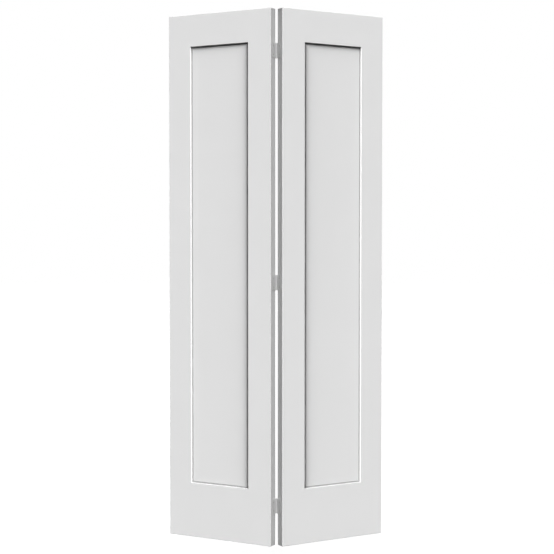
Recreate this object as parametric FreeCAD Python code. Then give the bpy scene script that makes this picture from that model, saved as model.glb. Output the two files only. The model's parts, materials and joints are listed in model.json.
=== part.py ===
import FreeCAD, Part
import os
from math import atan2, cos, pi, sin, tan
from FreeCAD import Vector

# A bifold closet door: two moulded hollow-core leaves joined by three butt
# hinges on the back of their meeting edges. Millimetres, +Z up, fronts to -Y.
#
# Each leaf is first built lying in the closed plane, as the right-hand leaf:
#   X  runs outward from the hinge pins' axis, which is X = 0, Y = 0
#   Y  runs backward, so that the leaf stands in front of the pins (Y < 0)
#   Z  runs up from the bottom edge
# It is then swung back by fold_angle about the pins, and the left leaf is
# the same leaf mirrored in the plane X = 0.

# ---- leaf ----
leaf_width = 450.85        # 17-3/4 in, half of a nominal 36 in pair
leaf_height = 2006.6       # 79 in
leaf_thickness = 34.925    # 1-3/8 in
fold_angle = 30.0          # degrees that each leaf stands back from the closed plane
edge_ease = 0.8            # small bevel round the rim of each face

# ---- moulded facing ----
facing_thickness = 3.2     # pressed hardboard sheet
stile_face = 98.0          # face width from a leaf's side to the recess
top_face = 121.0           # face height from the top edge to the recess
bottom_face = 209.0        # face height from the bottom edge to the recess
recess_depth = 6.35        # 1/4 in, from the face to the recess floor
recess_slope = 1.8         # width that the steep side of the recess takes up
groove_depth = 1.0         # how far the floor dips along the foot of that side
groove_width = 5.2         # width of the dip
mouth_radius = 1.2         # rounding where the face turns into the side
cove_radius = 1.0          # rounding where the side meets the dip
crest_radius = 6.0         # easing where the dip meets the flat floor

# ---- wooden frame between the facings ----
stile_width = 44.5         # 1-3/4 in
top_rail_height = 60.0
bottom_rail_height = 90.0

# ---- expanded card core ----
core_web = 1.5             # thickness of the card
core_cell_width = 60.0     # target size of a cell across the leaf
core_fold_pitch = 93.0     # target height of one fold of the card

# ---- drilled holes for the pivots and the guide ----
pivot_bore_diameter = 9.525     # 3/8 in
pivot_bore_depth = 38.1         # 1-1/2 in
pivot_bore_from_side = 28.6     # 1-1/8 in, from the leaf's outer side to the hole's axis

# ---- hinges ----
closed_gap = 3.2           # between the leaves' meeting edges when the pair is flat
pin_behind_face = 6.4      # from the leaf's back face to the pin's axis
hinge_height = 57.15       # 2-1/4 in
hinge_sheet = 1.5          # thickness of the steel plate
plate_on_edge = 24.0       # how far the plate reaches across the leaf's edge
plate_corner_radius = 3.0
knuckle_count = 3
knuckle_gap = 0.3          # between neighbouring knuckles
knuckle_relief = 0.35      # between a knuckle and the other plate's cut-back edge
curl_seam = 0.3            # open seam where the curled sheet comes back to the plate
pin_radius = 1.6
pin_clearance = 0.05       # running clearance of the pin in every knuckle
top_hinge_inset = 154.0    # from the leaf's top to the top hinge's middle
bottom_hinge_inset = 147.0    # from the leaf's bottom to the bottom hinge's middle
middle_hinge_drop = 15.0   # how far the middle hinge sits below the leaf's middle

# ---- hinge screws, with 90 degree heads as deep as the plate ----
screw_radius = 1.75
screw_length = 19.0
screw_tip_length = 3.5
screw_tip_radius = 0.3
screw_sides = 12           # flats that make up the round of a screw and of its hole
screw_hole_clearance = 0.05
screw_rise = 16.0          # height of a plate's screws above and below its middle
screw_row = 14.0           # from the back face to the screws
drive_slot_width = 0.8     # of the cross in a screw's head
drive_slot_length = 3.8
drive_slot_depth = 0.9

same_place = 1e-6          # points nearer than this are one point

# ---- planes and spans worked out from the sizes above ----
hinge_side_x = closed_gap / 2
outer_side_x = hinge_side_x + leaf_width
back_y = -pin_behind_face
front_y = back_y - leaf_thickness
middle_y = (back_y + front_y) / 2
frame_front_y = front_y + facing_thickness
frame_thickness = leaf_thickness - 2 * facing_thickness
inner_width = leaf_width - 2 * stile_width
inner_height = leaf_height - top_rail_height - bottom_rail_height
floor_inset = recess_slope + groove_width
side_steepness = atan2(recess_depth + groove_depth, recess_slope)
tray_offset = facing_thickness * tan(side_steepness / 2)    # keeps the pressed side full thickness
knuckle_height = (hinge_height - (knuckle_count - 1) * knuckle_gap) / knuckle_count
bore_radius = pin_radius + pin_clearance
barrel_radius = bore_radius + hinge_sheet
plate_face_x = hinge_side_x - hinge_sheet
hinge_middles = {
    "bottom": bottom_hinge_inset,
    "middle": leaf_height / 2 - middle_hinge_drop,
    "top": leaf_height - top_hinge_inset,
}


def box(x, y, z, corner):
    return Part.makeBox(x, y, z, Vector(*corner))


def recess_outline(inset):
    """X and Z limits of the recess, drawn in by inset from its mouth in the face."""
    return (
        hinge_side_x + stile_face + inset, outer_side_x - stile_face - inset,
        bottom_face + inset, leaf_height - top_face - inset,
    )


def tapered_block(front_outline, y, back_outline, back_y):
    """A block between two outlines of X and Z limits, one at the depth y and one at back_y."""
    x_low, x_high, z_low, z_high = front_outline
    back_x_low, back_x_high, back_z_low, back_z_high = back_outline
    return Part.makeWedge(
        x_low, y, z_low, back_z_low, back_x_low,
        x_high, back_y, z_high, back_z_high, back_x_high,
    )


def recess_block(from_front, side_offset):
    """The hollow of the recess, its mouth lying from_front behind the leaf's front face and its
    steep sides side_offset further out. The flat floor stands proud of the dip round it."""
    mouth_y = front_y + from_front
    floor_y = mouth_y + recess_depth
    dip_y = floor_y + groove_depth
    hollow = tapered_block(
        recess_outline(-side_offset), mouth_y, recess_outline(recess_slope - side_offset), dip_y
    )
    floor = tapered_block(recess_outline(floor_inset), floor_y, recess_outline(recess_slope), dip_y)
    return hollow.cut(floor)


def edges_round(shape, y, outline):
    """The edges of shape that run round an outline of X and Z limits in the plane Y = y."""
    x_low, x_high, z_low, z_high = outline

    def on_outline(point):
        on_side = min(abs(point.x - x_low), abs(point.x - x_high)) < same_place
        on_end = min(abs(point.z - z_low), abs(point.z - z_high)) < same_place
        return abs(point.y - y) < same_place and (on_side or on_end)

    return [
        edge for edge in shape.Edges
        if all(on_outline(vertex.Point) for vertex in edge.Vertexes)
    ]


def make_front_facing():
    sheet = box(leaf_width, facing_thickness, leaf_height, (hinge_side_x, front_y, 0))
    tray = recess_block(facing_thickness, tray_offset)
    facing = sheet.fuse(tray).cut(recess_block(0, 0)).removeSplitter()
    rim = (hinge_side_x, outer_side_x, 0, leaf_height)
    facing = facing.makeChamfer(edge_ease, edges_round(facing, front_y, rim))
    mouth = edges_round(facing, front_y, recess_outline(0))
    facing = facing.makeFillet(mouth_radius, mouth)
    foot_y = front_y + recess_depth + groove_depth
    foot = edges_round(facing, foot_y, recess_outline(recess_slope))
    facing = facing.makeFillet(cove_radius, foot)
    crest = edges_round(facing, front_y + recess_depth, recess_outline(floor_inset))
    return facing.makeFillet(crest_radius, crest)


def make_back_facing(front_facing):
    return front_facing.mirror(Vector(0, middle_y, 0), Vector(0, 1, 0))


def make_stile(x_low):
    return box(stile_width, frame_thickness, leaf_height, (x_low, frame_front_y, 0))


def make_rail(z_low, height):
    corner = (hinge_side_x + stile_width, frame_front_y, z_low)
    return box(inner_width, frame_thickness, height, corner)


def drill_pivot_bore(stile, at_top):
    """A blind hole down the end grain of the outer stile."""
    x = outer_side_x - pivot_bore_from_side
    z_low = leaf_height - pivot_bore_depth if at_top else 0
    hole = Part.makeCylinder(
        pivot_bore_diameter / 2, pivot_bore_depth, Vector(x, middle_y, z_low)
    )
    return stile.cut(hole)


def make_core():
    """Card strips folded to and fro and glued where they meet, which leaves open cells."""
    columns = max(1, round(inner_width / core_cell_width))
    folds = max(1, round(inner_height / core_fold_pitch))
    swing = inner_width / columns
    pitch = inner_height / folds
    x_low = hinge_side_x + stile_width

    def strip(column):
        middle = x_low + (column + 0.5) * swing
        line = []
        for fold in range(folds + 1):
            side = 1 if (fold + column) % 2 else -1
            line.append((middle + side * swing / 2, bottom_rail_height + fold * pitch))
        near = [Vector(x - core_web / 2, frame_front_y, z) for x, z in line]
        far = [Vector(x + core_web / 2, frame_front_y, z) for x, z in reversed(line)]
        outline = Part.makePolygon(near + far + near[:1])
        return Part.Face(outline).extrude(Vector(0, frame_thickness, 0))

    strips = [strip(column) for column in range(columns)]
    lattice = strips[0].multiFuse(strips[1:]) if columns > 1 else strips[0]
    front_tray = recess_block(facing_thickness, tray_offset)
    back_tray = front_tray.mirror(Vector(0, middle_y, 0), Vector(0, 1, 0))
    cavity = box(
        inner_width, frame_thickness, inner_height,
        (x_low, frame_front_y, bottom_rail_height),
    ).cut(front_tray).cut(back_tray)
    return lattice.common(cavity).removeSplitter().Solids[0]


def screw_section(x, z, radius):
    """The corners of a screw's outline at the distance x from the pins' axis."""
    angles = [2 * pi * side / screw_sides for side in range(screw_sides)]
    y = back_y - screw_row
    return [Vector(x, y + radius * cos(a), z + radius * sin(a)) for a in angles]


def solid_through(sections):
    """A solid with flat sides through sections that have as many corners each."""
    def flat(corners):
        return Part.Face(Part.makePolygon(corners + corners[:1]))

    faces = [flat(sections[0]), flat(sections[-1])]
    for near, far in zip(sections, sections[1:]):
        for side in range(len(near)):
            ahead = (side + 1) % len(near)
            faces.append(flat([near[side], near[ahead], far[ahead], far[side]]))
    return Part.Solid(Part.Shell(faces))


def make_screw(z, grow=0):
    """A countersunk screw driven outward from the plate's face; grow swells it to its hole."""
    radius = screw_radius + grow
    point_x = plate_face_x + screw_length + grow
    return solid_through([
        screw_section(plate_face_x, z, radius + hinge_sheet),
        screw_section(hinge_side_x, z, radius),
        screw_section(point_x - screw_tip_length, z, radius),
        screw_section(point_x, z, screw_tip_radius + grow),
    ])


def cut_drive(screw, z):
    """The crossed slots in a screw's head."""
    for across, up in (
        (drive_slot_length, drive_slot_width), (drive_slot_width, drive_slot_length),
    ):
        corner = (plate_face_x, back_y - screw_row - across / 2, z - up / 2)
        screw = screw.cut(box(drive_slot_depth, across, up, corner))
    return screw


def screw_heights(hinge_middle):
    return hinge_middle - screw_rise, hinge_middle + screw_rise


def make_screws(hinge_middle):
    return Part.makeCompound([
        cut_drive(make_screw(z), z) for z in screw_heights(hinge_middle)
    ])


def drill_screw_holes(shape, hinge_middle):
    for z in screw_heights(hinge_middle):
        shape = shape.cut(make_screw(z, screw_hole_clearance))
    return shape


def make_plate(hinge_middle, own_knuckles):
    """One plate of a hinge: flat on the leaf's edge, with its knuckles curled round the pin."""
    z_low = hinge_middle - hinge_height / 2
    far_y = back_y - plate_on_edge
    near_y = -(barrel_radius + knuckle_relief)
    plate = box(hinge_sheet, near_y - far_y, hinge_height, (plate_face_x, far_y, z_low))
    corners = [
        edge for edge in plate.Edges
        if all(abs(vertex.Y - far_y) < same_place for vertex in edge.Vertexes)
        and abs(edge.Vertexes[0].X - edge.Vertexes[1].X) > same_place
    ]
    plate = plate.makeFillet(plate_corner_radius, corners)

    for knuckle in own_knuckles:
        z = z_low + knuckle * (knuckle_height + knuckle_gap)
        curl = Part.makeCylinder(barrel_radius, knuckle_height, Vector(0, 0, z))
        neck = box(hinge_sheet, -near_y, knuckle_height, (plate_face_x, near_y, z))
        seam = box(
            curl_seam, barrel_radius, knuckle_height,
            (plate_face_x - curl_seam, -barrel_radius, z),
        )
        bore = Part.makeCylinder(bore_radius, knuckle_height, Vector(0, 0, z))
        plate = plate.fuse(curl.cut(seam).fuse(neck).cut(bore))
    return drill_screw_holes(plate.removeSplitter(), hinge_middle)


def make_pin(hinge_middle):
    """The pin is driven in flush with the end knuckles."""
    z_low = hinge_middle - hinge_height / 2
    return Part.makeCylinder(pin_radius, hinge_height, Vector(0, 0, z_low))


def make_leaf(side):
    """The pieces of one leaf, without its hinge plates."""
    front_facing = make_front_facing()
    hinge_stile = make_stile(hinge_side_x)
    for hinge_middle in hinge_middles.values():
        hinge_stile = drill_screw_holes(hinge_stile, hinge_middle)
    outer_stile = drill_pivot_bore(make_stile(outer_side_x - stile_width), at_top=True)
    if side == "left":
        outer_stile = drill_pivot_bore(outer_stile, at_top=False)
    return {
        "front_facing": front_facing,
        "back_facing": make_back_facing(front_facing),
        "hinge_stile": hinge_stile,
        "outer_stile": outer_stile,
        "top_rail": make_rail(leaf_height - top_rail_height, top_rail_height),
        "bottom_rail": make_rail(0, bottom_rail_height),
        "core": make_core(),
    }


def swing(shape, side):
    """Swing a piece back about the pins, mirrored first if it is on the left leaf."""
    if side == "left":
        shape = shape.mirror(Vector(), Vector(1, 0, 0))
    turn = fold_angle if side == "right" else -fold_angle
    return shape.rotated(Vector(), Vector(0, 0, 1), turn)


nodes = {}
for side, first_knuckle in (("left", 0), ("right", 1)):
    for piece, shape in make_leaf(side).items():
        nodes[f"{side}_{piece}"] = swing(shape, side)
    for place, hinge_middle in hinge_middles.items():
        plate = make_plate(hinge_middle, range(first_knuckle, knuckle_count, 2))
        nodes[f"{place}_hinge_{side}_plate"] = swing(plate, side)
        nodes[f"{place}_hinge_{side}_screws"] = swing(make_screws(hinge_middle), side)
for place, hinge_middle in hinge_middles.items():
    nodes[f"{place}_hinge_pin"] = make_pin(hinge_middle)

# The origin goes to the middle of the pair's bounding box, on the floor.
pins_y = -Part.makeCompound(list(nodes.values())).BoundBox.Center.y
print("pins' axis at y =", round(pins_y, 4))

os.makedirs("parts", exist_ok=True)
for name, shape in nodes.items():
    shape.translated(Vector(0, pins_y, 0)).exportStep(f"parts/{name}.step")
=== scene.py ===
import json
from math import cos, pi, radians, sin

import bpy
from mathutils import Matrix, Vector


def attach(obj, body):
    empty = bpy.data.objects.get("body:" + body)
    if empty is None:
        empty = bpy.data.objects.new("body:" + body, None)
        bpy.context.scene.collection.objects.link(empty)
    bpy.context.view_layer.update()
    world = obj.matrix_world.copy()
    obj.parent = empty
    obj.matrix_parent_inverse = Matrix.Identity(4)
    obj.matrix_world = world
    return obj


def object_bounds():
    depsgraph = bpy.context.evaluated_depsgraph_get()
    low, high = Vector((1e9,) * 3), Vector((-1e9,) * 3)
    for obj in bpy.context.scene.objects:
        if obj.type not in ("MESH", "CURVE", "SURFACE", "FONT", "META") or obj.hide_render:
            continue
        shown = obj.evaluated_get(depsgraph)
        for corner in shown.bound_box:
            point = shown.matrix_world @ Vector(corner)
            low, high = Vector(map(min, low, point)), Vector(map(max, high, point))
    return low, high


# A primed white bifold closet door, folded into a V with its hinges towards the camera.
# Lengths are in metres, in the frame's own axes: +Z up, fronts to -Y. Colours are linear.
# The scale of a texture is about how many of its spots lie in a metre.

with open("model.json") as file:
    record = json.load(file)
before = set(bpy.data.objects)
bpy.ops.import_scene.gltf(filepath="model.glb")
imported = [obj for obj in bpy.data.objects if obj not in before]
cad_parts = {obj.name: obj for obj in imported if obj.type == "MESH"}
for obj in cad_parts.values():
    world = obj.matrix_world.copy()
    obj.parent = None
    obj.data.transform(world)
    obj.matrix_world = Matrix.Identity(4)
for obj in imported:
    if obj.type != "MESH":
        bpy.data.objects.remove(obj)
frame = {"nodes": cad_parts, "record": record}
nodes = frame["nodes"]
cad_low, cad_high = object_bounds()
fold = frame["record"]["behaviour"]["joints"][0]
leaf_turn = radians(-fold["range_deg"][0] / 2)      # each leaf's turn back from the closed plane

SIDE_SIGNS = {"left": -1, "right": 1}               # of X on each leaf's side of the hinges
WHITE = (1.0, 1.0, 1.0)
NOISE_ROUGHNESS = 0.55                              # each finer octave's share of the one before


# ---- node trees ----

class NodeTree:
    """A node tree, with short names for the nodes that it is made of."""

    def __init__(self, tree):
        self.tree = tree

    def add(self, kind, **values):
        node = self.tree.nodes.new(kind)
        for key, value in values.items():
            setattr(node, key, value)
        return node

    def put(self, socket, value):
        """Set a socket to a constant, or link an output to it. A colour is given without alpha."""
        if isinstance(value, bpy.types.NodeSocket):
            self.tree.links.new(value, socket)
        elif socket.type == "RGBA":
            socket.default_value = (*value, 1.0)
        else:
            socket.default_value = value

    def math(self, operation, *values):
        node = self.add("ShaderNodeMath", operation=operation)
        for socket, value in zip(node.inputs, values):
            self.put(socket, value)
        return node.outputs[0]

    def measure(self, operation, *vectors):
        """A number from one vector or two: LENGTH, DISTANCE or DOT_PRODUCT."""
        node = self.add("ShaderNodeVectorMath", operation=operation)
        for socket, vector in zip(node.inputs, vectors):
            self.put(socket, vector)
        return node.outputs["Value"]

    def split(self, vector):
        """The outputs X, Y and Z of a vector."""
        node = self.add("ShaderNodeSeparateXYZ")
        self.put(node.inputs[0], vector)
        return node.outputs

    def spread(self, value, low, high, between=(0.0, 1.0)):
        """Take a value that runs between two limits to low to high."""
        node = self.add("ShaderNodeMapRange")
        self.put(node.inputs["Value"], value)
        node.inputs["From Min"].default_value, node.inputs["From Max"].default_value = between
        self.put(node.inputs["To Min"], low)
        self.put(node.inputs["To Max"], high)
        return node.outputs["Result"]

    def mix_shaders(self, share, first, second):
        node = self.add("ShaderNodeMixShader")
        for socket, value in zip(node.inputs, (share, first, second)):
            self.put(socket, value)
        return node.outputs[0]


class Finish(NodeTree):
    """A material of the object, with what its finish is made from."""

    def __init__(self, name):
        self.material = bpy.data.materials.new(name)
        self.material.use_nodes = True
        super().__init__(self.material.node_tree)
        place = self.add("ShaderNodeTexCoord")
        self.object_point = place.outputs["Object"]
        self.object_normal = place.outputs["Normal"]

    def stretched(self, scale, turn=0.0):
        """Object space turned about Z and then stretched, or squeezed by a scale under 1."""
        turned = self.add("ShaderNodeVectorRotate", rotation_type="Z_AXIS")
        self.put(turned.inputs["Vector"], self.object_point)
        self.put(turned.inputs["Angle"], turn)
        node = self.add("ShaderNodeMapping")
        self.put(node.inputs["Vector"], turned.outputs["Vector"])
        self.put(node.inputs["Scale"], scale)
        return node.outputs["Vector"]

    def noise(self, scale, detail, point=None, distortion=0.0):
        node = self.add("ShaderNodeTexNoise")
        self.put(node.inputs["Vector"], point or self.object_point)
        self.put(node.inputs["Scale"], scale)
        self.put(node.inputs["Detail"], detail)
        self.put(node.inputs["Roughness"], NOISE_ROUGHNESS)
        self.put(node.inputs["Distortion"], distortion)
        return node.outputs["Fac"]

    def mix(self, share, first, second):
        node = self.add("ShaderNodeMix", data_type="RGBA")
        self.put(node.inputs["Factor"], share)
        self.put(node.inputs["A"], first)
        self.put(node.inputs["B"], second)
        return node.outputs["Result"]

    def tinted(self, colour, value):
        """A colour made lighter or darker by a value near 1."""
        node = self.add("ShaderNodeVectorMath", operation="SCALE")
        self.put(node.inputs[0], colour)
        self.put(node.inputs["Scale"], value)
        return node.outputs["Vector"]

    def bump(self, height, depth, under=None):
        """A normal for a height that runs from 0 to 1, on top of another bump's if one is given."""
        node = self.add("ShaderNodeBump")
        self.put(node.inputs["Strength"], 1.0)
        self.put(node.inputs["Distance"], depth)
        self.put(node.inputs["Height"], height)
        if under:
            self.put(node.inputs["Normal"], under)
        return node.outputs["Normal"]

    def with_surface(self, sockets):
        """The material, with sockets of its surface set or linked by their names."""
        surface = self.tree.nodes["Principled BSDF"]
        for name, value in sockets.items():
            self.put(surface.inputs[name], value)
        return self.material


# ---- where the primer stops ----

END_BAND = 0.0012               # the raw ends show within this of the top and bottom
END_UPRIGHT = 0.9               # the least Z, up or down, of a sawn end's normal
BORE_BAND = 0.0004              # the raw wood of a hole's wall, outside the hole's radius


def raw_end_share(finish):
    """1 on the sawn top and bottom of the leaves, 0 elsewhere."""
    middle = (cad_low.z + cad_high.z) / 2
    reach = (cad_high.z - cad_low.z) / 2 - END_BAND
    height = finish.split(finish.object_point)["Z"]
    from_middle = finish.math("ABSOLUTE", finish.math("SUBTRACT", height, middle))
    true_normal = finish.add("ShaderNodeNewGeometry").outputs["True Normal"]
    upright = finish.math("ABSOLUTE", finish.split(true_normal)["Z"])
    return finish.math(
        "MULTIPLY",
        finish.math("GREATER_THAN", from_middle, reach),
        finish.math("GREATER_THAN", upright, END_UPRIGHT),
    )


def bore_share(finish):
    """1 on the walls of the holes for the pivots and the guide, 0 elsewhere."""
    bore = frame["record"]["mounts"][0]     # the others are on the same axis or its mirror image
    place = finish.split(finish.object_point)
    mirrored = finish.add("ShaderNodeCombineXYZ")
    finish.put(mirrored.inputs["X"], finish.math("ABSOLUTE", place["X"]))
    finish.put(mirrored.inputs["Y"], place["Y"])
    axis = (abs(bore["pos_m"][0]), bore["pos_m"][1], 0)
    from_axis = finish.measure("DISTANCE", mirrored.outputs["Vector"], axis)
    return finish.math("LESS_THAN", from_axis, bore["dims"]["r_mm"] / 1000 + BORE_BAND)


# ---- primer ----

PRIMER = (0.735, 0.735, 0.735)
PRIMER_SPECULAR = 0.20
PRIMER_CLOUD_SCALE = 3.5
PRIMER_SPECKLE_SCALE = 900.0
PRIMER_TONES = (0.985, 1.015)


def primer_tone(finish, painted_shade=1.0):
    """White primer, a little uneven over the whole leaf and faintly speckled close up, darkened by any
    painted shade it is given.
    """
    cloud = finish.spread(finish.noise(PRIMER_CLOUD_SCALE, detail=2.0), *PRIMER_TONES)
    speckle = finish.spread(finish.noise(PRIMER_SPECKLE_SCALE, detail=2.0), *PRIMER_TONES)
    uneven = finish.math("MULTIPLY", cloud, speckle)
    return finish.tinted(PRIMER, finish.math("MULTIPLY", uneven, painted_shade))


# ---- hardboard facings ----

RECESS_DEPTH = 0.00635
DIP_DEPTH = 0.001               # of the dip along the foot of the recess's sides
SIDE_SHADE = 0.54                # painted shade on the steep sides of the recess
FOOT_SHADE = 0.25                # painted shade, deeper at the sides' foot
DIP_SHADE = 0.50                 # painted shade along the bottom of the dip
RIM_SHADE = 0.60                 # painted shade on the bevels and cut edges down the sides of the sheet
SIDE_SHADE_DEPTH = 0.3           # the sides' painted shade starts to deepen at this share of the recess's depth
SIDE_FLATNESS = (0.70, 0.97)    # steep enough for the sides' full painted shade, and flat enough for none of it
RIM_WIDTH = 0.0009              # from the sheet's side edges, just past their bevels
RIM_BLEND = 0.1                 # the share of its width over which the rim's painted shade ends, each way
RAW_HARDBOARD_LIGHT = (0.24, 0.145, 0.08)
RAW_HARDBOARD_DARK = (0.15, 0.085, 0.045)
FRONT_RAW_SHADE = 0.45           # painted shade on the fronts' raw top edges: the fronts' keys graze the faces but fall full on those edges
HARDBOARD_FIBRE_SCALE = 420.0
HARDBOARD_FIBRE_SQUEEZE = (1.0, 1.0, 0.25)
HARDBOARD_PEEL_SCALE = 650.0
HARDBOARD_PEEL_DEPTH = 0.00006
HARDBOARD_WAVE_SCALE = 9.0
HARDBOARD_WAVE_DEPTH = 0.0004
HARDBOARD_SHEEN_SCALE = 60.0
HARDBOARD_ROUGHNESS = (0.50, 0.60)


def facing_painted_shade(finish, side, face):
    """Painted shade on a facing's primer: 1 on its flats, darker down the recess's sides, at their foot,
    along the dip and on the rim.
    """
    sign = SIDE_SIGNS[side]
    outward = Vector((sign * sin(leaf_turn), -cos(leaf_turn), 0)) * (1 if face == "front" else -1)
    along = Vector((sign * cos(leaf_turn), sin(leaf_turn), 0))
    points = [vertex.co for vertex in nodes[f"{side}_{face}_facing"].data.vertices]
    face_place = max(outward.dot(point) for point in points)
    rim_low = min(along.dot(point) for point in points)
    rim_high = max(along.dot(point) for point in points)

    place_outward = finish.measure("DOT_PRODUCT", finish.object_point, outward)
    depth = finish.math("SUBTRACT", face_place, place_outward)
    # painted shade on the recess's sides, deepening towards their foot
    side_shade = finish.spread(
        depth, SIDE_SHADE, FOOT_SHADE, between=(SIDE_SHADE_DEPTH * RECESS_DEPTH, RECESS_DEPTH)
    )
    # painted shade along the bottom of the dip
    dip_shade = finish.spread(depth, 1.0, DIP_SHADE, between=(RECESS_DEPTH, RECESS_DEPTH + DIP_DEPTH))

    flatness = finish.math("ABSOLUTE", finish.measure("DOT_PRODUCT", finish.object_normal, outward))
    sides_shade = finish.spread(flatness, side_shade, 1.0, between=SIDE_FLATNESS)

    place_along = finish.measure("DOT_PRODUCT", finish.object_point, along)
    off_middle = finish.math("SUBTRACT", place_along, (rim_low + rim_high) / 2)
    from_rim = finish.math("SUBTRACT", (rim_high - rim_low) / 2, finish.math("ABSOLUTE", off_middle))
    rim_limits = ((1 - RIM_BLEND) * RIM_WIDTH, (1 + RIM_BLEND) * RIM_WIDTH)
    # painted shade on the bevels and cut edges at the sheet's sides
    rim_shade = finish.spread(from_rim, RIM_SHADE, 1.0, between=rim_limits)
    return finish.math("MULTIPLY", rim_shade, finish.math("MULTIPLY", dip_shade, sides_shade))


def primed_hardboard(side, face, raw_shade):
    """Primed smooth hardboard, faintly wavy, with bare fibre on its sawn ends and painted shade in its
    recess and on its rim.
    """
    finish = Finish(f"primed_hardboard_{side}_{face}")
    along_leaf = finish.stretched(HARDBOARD_FIBRE_SQUEEZE)
    fibre = finish.noise(HARDBOARD_FIBRE_SCALE, detail=4.0, point=along_leaf)
    # the raw fibre's colours, darkened on the fronts by painted shade
    dark, light = (
        tuple(raw_shade * part for part in colour) for colour in (RAW_HARDBOARD_DARK, RAW_HARDBOARD_LIGHT)
    )
    raw = finish.mix(fibre, dark, light)
    # the primer is darkened by painted shade down the recess and on the rim
    primer = primer_tone(finish, facing_painted_shade(finish, side, face))
    peel = finish.bump(finish.noise(HARDBOARD_PEEL_SCALE, detail=2.0), HARDBOARD_PEEL_DEPTH)
    wave = finish.bump(finish.noise(HARDBOARD_WAVE_SCALE, detail=1.0), HARDBOARD_WAVE_DEPTH, peel)
    sheen = finish.noise(HARDBOARD_SHEEN_SCALE, detail=2.0)
    return finish.with_surface({
        "Base Color": finish.mix(raw_end_share(finish), primer, raw),
        "Roughness": finish.spread(sheen, *HARDBOARD_ROUGHNESS),
        "Specular IOR Level": PRIMER_SPECULAR,
        "Normal": wave,
    })


# ---- pine stiles and rails ----

RAW_PINE_LIGHT = (0.62, 0.46, 0.29)
RAW_PINE_DARK = (0.46, 0.29, 0.16)
ALONG_GRAIN = 0.02              # how much slower the wood changes along its grain
STILE_SQUEEZE = (1.0, 1.0, ALONG_GRAIN)
RAIL_SQUEEZE = (ALONG_GRAIN, 1.0, 1.0)
RING_SPACING = 0.0028           # between the growth rings
RING_WANDER = 3.0
RING_DETAIL = 2.0
RING_DETAIL_SCALE = 0.15
WAVE_TURN = 20.0                # radians in a metre of the wave texture at a scale of 1
PINE_GRAIN_SCALE = 260.0
PINE_GRAIN_WANDER = 0.3
PINE_FIGURE_SCALE = 240.0
PINE_FIBRE_SCALE = 1800.0
PINE_FIGURE_SHARE = 0.7         # of the raw wood's tone, and the fibre has the rest
PINE_ROUGHNESS = (0.50, 0.62)
PINE_GRAIN_DEPTH = 0.00012


def growth_rings(finish):
    """Rings round an upright axis, as on the sawn end of a stile."""
    node = finish.add("ShaderNodeTexWave", wave_type="RINGS", rings_direction="Z")
    finish.put(node.inputs["Vector"], finish.stretched(STILE_SQUEEZE))
    finish.put(node.inputs["Scale"], 2 * pi / (WAVE_TURN * RING_SPACING))
    finish.put(node.inputs["Distortion"], RING_WANDER)
    finish.put(node.inputs["Detail"], RING_DETAIL)
    finish.put(node.inputs["Detail Scale"], RING_DETAIL_SCALE)
    return node.outputs["Fac"]


def primed_pine(name, squeeze, turn=0.0, end_grain=False):
    """Primed pine whose grain runs where squeeze is small, with bare wood where it was cut last."""
    finish = Finish(name)
    along = finish.stretched(squeeze, turn)
    grain = finish.noise(PINE_GRAIN_SCALE, detail=4.0, point=along, distortion=PINE_GRAIN_WANDER)
    if end_grain:
        figure = growth_rings(finish)
    else:
        figure = finish.noise(PINE_FIGURE_SCALE, detail=3.0, point=along)
    fibre = finish.noise(PINE_FIBRE_SCALE, detail=2.0, point=along)
    fibre_part = finish.math("MULTIPLY", fibre, 1 - PINE_FIGURE_SHARE)
    tone = finish.math("MULTIPLY_ADD", figure, PINE_FIGURE_SHARE, fibre_part)
    raw = finish.mix(tone, RAW_PINE_LIGHT, RAW_PINE_DARK)
    share = finish.math("MAXIMUM", raw_end_share(finish), bore_share(finish))
    return finish.with_surface({
        "Base Color": finish.mix(share, primer_tone(finish), raw),
        "Roughness": finish.spread(grain, *PINE_ROUGHNESS),
        "Specular IOR Level": PRIMER_SPECULAR,
        "Normal": finish.bump(grain, PINE_GRAIN_DEPTH),
    })


# ---- hinges ----

HINGE_PAINT = (0.70, 0.70, 0.70)
PAINT_PEEL_SCALE = 1500.0
PAINT_PEEL_DEPTH = 0.00003
PAINT_TONE_SCALE = 300.0
PAINT_TONES = (0.97, 1.03)
PAINT_SHEEN_SCALE = 500.0
PAINT_ROUGHNESS = (0.32, 0.42)
STEEL = (0.62, 0.61, 0.60)
STEEL_BRUSH_SCALE = 2500.0
STEEL_BRUSH_SQUEEZE = (1.0, 1.0, 0.05)
STEEL_BRUSH_DEPTH = 0.00002
STEEL_TONES = (0.92, 1.06)
STEEL_ROUGHNESS = (0.28, 0.42)


def hinge_paint():
    """White paint with a fine orange peel."""
    finish = Finish("hinge_paint")
    tone = finish.spread(finish.noise(PAINT_TONE_SCALE, detail=3.0), *PAINT_TONES)
    sheen = finish.noise(PAINT_SHEEN_SCALE, detail=2.0)
    return finish.with_surface({
        "Base Color": finish.tinted(HINGE_PAINT, tone),
        "Roughness": finish.spread(sheen, *PAINT_ROUGHNESS),
        "Normal": finish.bump(finish.noise(PAINT_PEEL_SCALE, detail=2.0), PAINT_PEEL_DEPTH),
    })


def brushed_steel(name):
    """Steel with fine upright drawing marks."""
    finish = Finish(name)
    brush = finish.noise(STEEL_BRUSH_SCALE, detail=3.0, point=finish.stretched(STEEL_BRUSH_SQUEEZE))
    return finish.with_surface({
        "Base Color": finish.tinted(STEEL, finish.spread(brush, *STEEL_TONES)),
        "Metallic": 1.0,
        "Roughness": finish.spread(brush, *STEEL_ROUGHNESS),
        "Normal": finish.bump(brush, STEEL_BRUSH_DEPTH),
    })


# ---- card core ----

KRAFT_LIGHT = (0.46, 0.31, 0.17)
KRAFT_DARK = (0.34, 0.22, 0.12)
KRAFT_FIBRE_SCALE = 800.0
KRAFT_FIBRE_SQUEEZE = (1.0, 1.0, 0.3)
KRAFT_FIBRE_DEPTH = 0.00008
KRAFT_ROUGHNESS = 0.9


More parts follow.
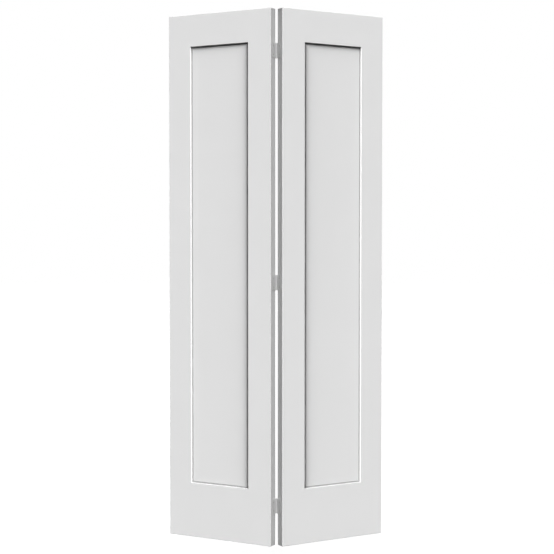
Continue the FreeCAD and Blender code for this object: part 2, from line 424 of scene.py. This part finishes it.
def kraft_card():
    """Brown card with its fibres mostly upright."""
    finish = Finish("kraft_card")
    fibre = finish.noise(KRAFT_FIBRE_SCALE, detail=4.0, point=finish.stretched(KRAFT_FIBRE_SQUEEZE))
    return finish.with_surface({
        "Base Color": finish.mix(fibre, KRAFT_DARK, KRAFT_LIGHT),
        "Roughness": KRAFT_ROUGHNESS,
        "Normal": finish.bump(fibre, KRAFT_FIBRE_DEPTH),
    })


# ---- dressing the CAD's nodes ----

def dress(material, *names):
    """Give the named nodes this material alone."""
    for name in names:
        slots = nodes[name].data.materials
        slots.clear()
        slots.append(material)


def dress_all_ending(ending, material):
    dress(material, *[name for name in nodes if name.endswith(ending)])


def dress_nodes():
    for side, sign in SIDE_SIGNS.items():
        # the fronts' raw ends get painted shade, the backs' none
        for face, raw_shade in (("front", FRONT_RAW_SHADE), ("back", 1.0)):
            dress(primed_hardboard(side, face, raw_shade), f"{side}_{face}_facing")
        rail_pine = primed_pine(f"primed_rail_wood_{side}", RAIL_SQUEEZE, turn=-sign * leaf_turn)
        dress(rail_pine, f"{side}_top_rail", f"{side}_bottom_rail")
    dress_all_ending("_stile", primed_pine("primed_stile_wood", STILE_SQUEEZE, end_grain=True))
    dress_all_ending("_plate", hinge_paint())
    dress_all_ending("_pin", brushed_steel("pin_steel"))
    dress_all_ending("_screws", brushed_steel("screw_steel"))
    dress_all_ending("_core", kraft_card())


# ---- floor and world ----

FLOOR_SIZE = 60.0
FLOOR_GAP = 0.0002              # between the leaves' feet and the floor
FLOOR_FADE = (8.0, 26.0)        # from the middle, where the floor starts and ends turning into the world
FLOOR_SHOWN = 0.20              # as the camera sees it, which keeps a faint shadow
FLOOR_GLOW = 0.86               # brings the lit floor up to the white background
FLOOR_BOUNCE = 0.05             # as the object's own light sees it
AMBIENT = 0.01


def seen_share(tree):
    """1 for what the camera sees straight, in a reflection or through glass, and 0 for what
    lights the object."""
    path = tree.add("ShaderNodeLightPath").outputs
    straight_or_reflected = tree.math("MAXIMUM", path["Is Camera Ray"], path["Is Glossy Ray"])
    return tree.math("MAXIMUM", straight_or_reflected, path["Is Transmission Ray"])


def floor_white():
    """White where it is seen and dim in the object's light, clear far away and from below."""
    material = bpy.data.materials.new("floor_white")
    material.use_nodes = True
    material.node_tree.nodes.clear()
    tree = NodeTree(material.node_tree)

    def diffuse(value):
        node = tree.add("ShaderNodeBsdfDiffuse")
        tree.put(node.inputs["Color"], (value, value, value))
        return node.outputs[0]

    glow = tree.add("ShaderNodeEmission")
    tree.put(glow.inputs["Color"], WHITE)
    tree.put(glow.inputs["Strength"], FLOOR_GLOW)
    shown = tree.add("ShaderNodeAddShader")
    tree.put(shown.inputs[0], diffuse(FLOOR_SHOWN))
    tree.put(shown.inputs[1], glow.outputs[0])
    lit = tree.mix_shaders(seen_share(tree), diffuse(FLOOR_BOUNCE), shown.outputs[0])

    from_middle = tree.measure("LENGTH", tree.add("ShaderNodeTexCoord").outputs["Object"])
    far_away = tree.spread(from_middle, 0.0, 1.0, between=FLOOR_FADE)
    from_below = tree.add("ShaderNodeNewGeometry").outputs["Backfacing"]
    clear = tree.add("ShaderNodeBsdfTransparent").outputs[0]
    output = tree.add("ShaderNodeOutputMaterial")
    faded = tree.mix_shaders(tree.math("MAXIMUM", far_away, from_below), lit, clear)
    tree.put(output.inputs["Surface"], faded)
    return material


def make_floor():
    """A plain floor just under the leaves' feet."""
    half = FLOOR_SIZE / 2
    corners = [(-half, -half, 0), (half, -half, 0), (half, half, 0), (-half, half, 0)]
    mesh = bpy.data.meshes.new("floor")
    mesh.from_pydata(corners, [], [(0, 1, 2, 3)])
    mesh.materials.append(floor_white())
    floor = bpy.data.objects.new("floor", mesh)
    floor.location.z = cad_low.z - FLOOR_GAP
    bpy.context.scene.collection.objects.link(floor)


def make_world():
    """White where it is seen, and close to black in the object's light."""
    world = bpy.data.worlds.new("white_studio")
    bpy.context.scene.world = world
    world.use_nodes = True
    background = world.node_tree.nodes["Background"]
    tree = NodeTree(world.node_tree)
    tree.put(background.inputs["Color"], WHITE)
    tree.put(background.inputs["Strength"], tree.spread(seen_share(tree), AMBIENT, 1.0))


# ---- lamps, with their angles in degrees ----

LAMP_DISTANCE = 6.0
LAMP_SOFTNESS = 28              # across, as the object sees it
KEY_ELEVATION = 40
FRONT_KEYS = ((28, 1.65), (54, 2.87))       # their azimuths towards the hinges, and strengths
FRAME_KEY_AZIMUTH = 12
FRAME_KEY_STRENGTH = 0.74
BACK_AZIMUTH = 150
BACK_ELEVATION = 35
BACK_STRENGTH = 0.62


def lamp(name, azimuth, elevation, strength, lit_names):
    """A broad distant lamp, for the named objects alone. Azimuth 0 is in front and 90 to the
    right; a strength of 1 lights a surface that faces it as brightly as its own colour."""
    light = bpy.data.lights.new(name, "SUN")
    light.angle = radians(LAMP_SOFTNESS)
    light.energy = strength * pi
    obj = bpy.data.objects.new(name, light)
    bpy.context.scene.collection.objects.link(obj)
    turn, rise = radians(azimuth), radians(elevation)
    place = Vector((sin(turn) * cos(rise), -cos(turn) * cos(rise), sin(rise))) * LAMP_DISTANCE
    obj.location = place
    obj.rotation_euler = (-place).to_track_quat("-Z", "Y").to_euler()
    lit = bpy.data.collections.new(f"{name}_lit")
    for lit_name in lit_names:
        lit.objects.link(bpy.data.objects[lit_name])
    obj.light_linking.receiver_collection = lit
    return obj


def make_lamps():
    """Each leaf's front has keys of its own, from its hinge side. They turn with the leaf, so
    that its front is as light at any fold. All else has one key in front and two lamps behind."""
    not_fronts = [name for name in nodes if not name.endswith("_front_facing")] + ["floor"]
    for side, sign in SIDE_SIGNS.items():
        for azimuth, strength in FRONT_KEYS:
            front = [f"{side}_front_facing"]
            key = lamp(f"{side}_key_{azimuth}", -sign * azimuth, KEY_ELEVATION, strength, front)
            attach(key, f"{side}_leaf")
    lamp("frame_key", FRAME_KEY_AZIMUTH, KEY_ELEVATION, FRAME_KEY_STRENGTH, not_fronts)
    for side, sign in SIDE_SIGNS.items():
        lamp(f"back_{side}", sign * BACK_AZIMUTH, BACK_ELEVATION, BACK_STRENGTH, not_fronts)


# ---- camera, fitted to the corners of both leaves ----

CAMERA_PLACE = (-0.0631, -5.1278, 1.1843)
CAMERA_PITCH_DOWN = 1.989       # degrees
CAMERA_YAW_RIGHT = 0.741        # degrees
LENS_MM = 87.4
SENSOR_MM = 36.0


def make_camera():
    camera = bpy.data.objects.new("camera", bpy.data.cameras.new("camera"))
    bpy.context.scene.collection.objects.link(camera)
    camera.location = CAMERA_PLACE
    camera.rotation_euler = (radians(90 - CAMERA_PITCH_DOWN), 0, -radians(CAMERA_YAW_RIGHT))
    camera.data.lens = LENS_MM
    camera.data.sensor_width = SENSOR_MM
    bpy.context.scene.camera = camera


dress_nodes()
make_floor()
make_world()
make_lamps()
make_camera()
bpy.context.scene.view_settings.view_transform = "Standard"
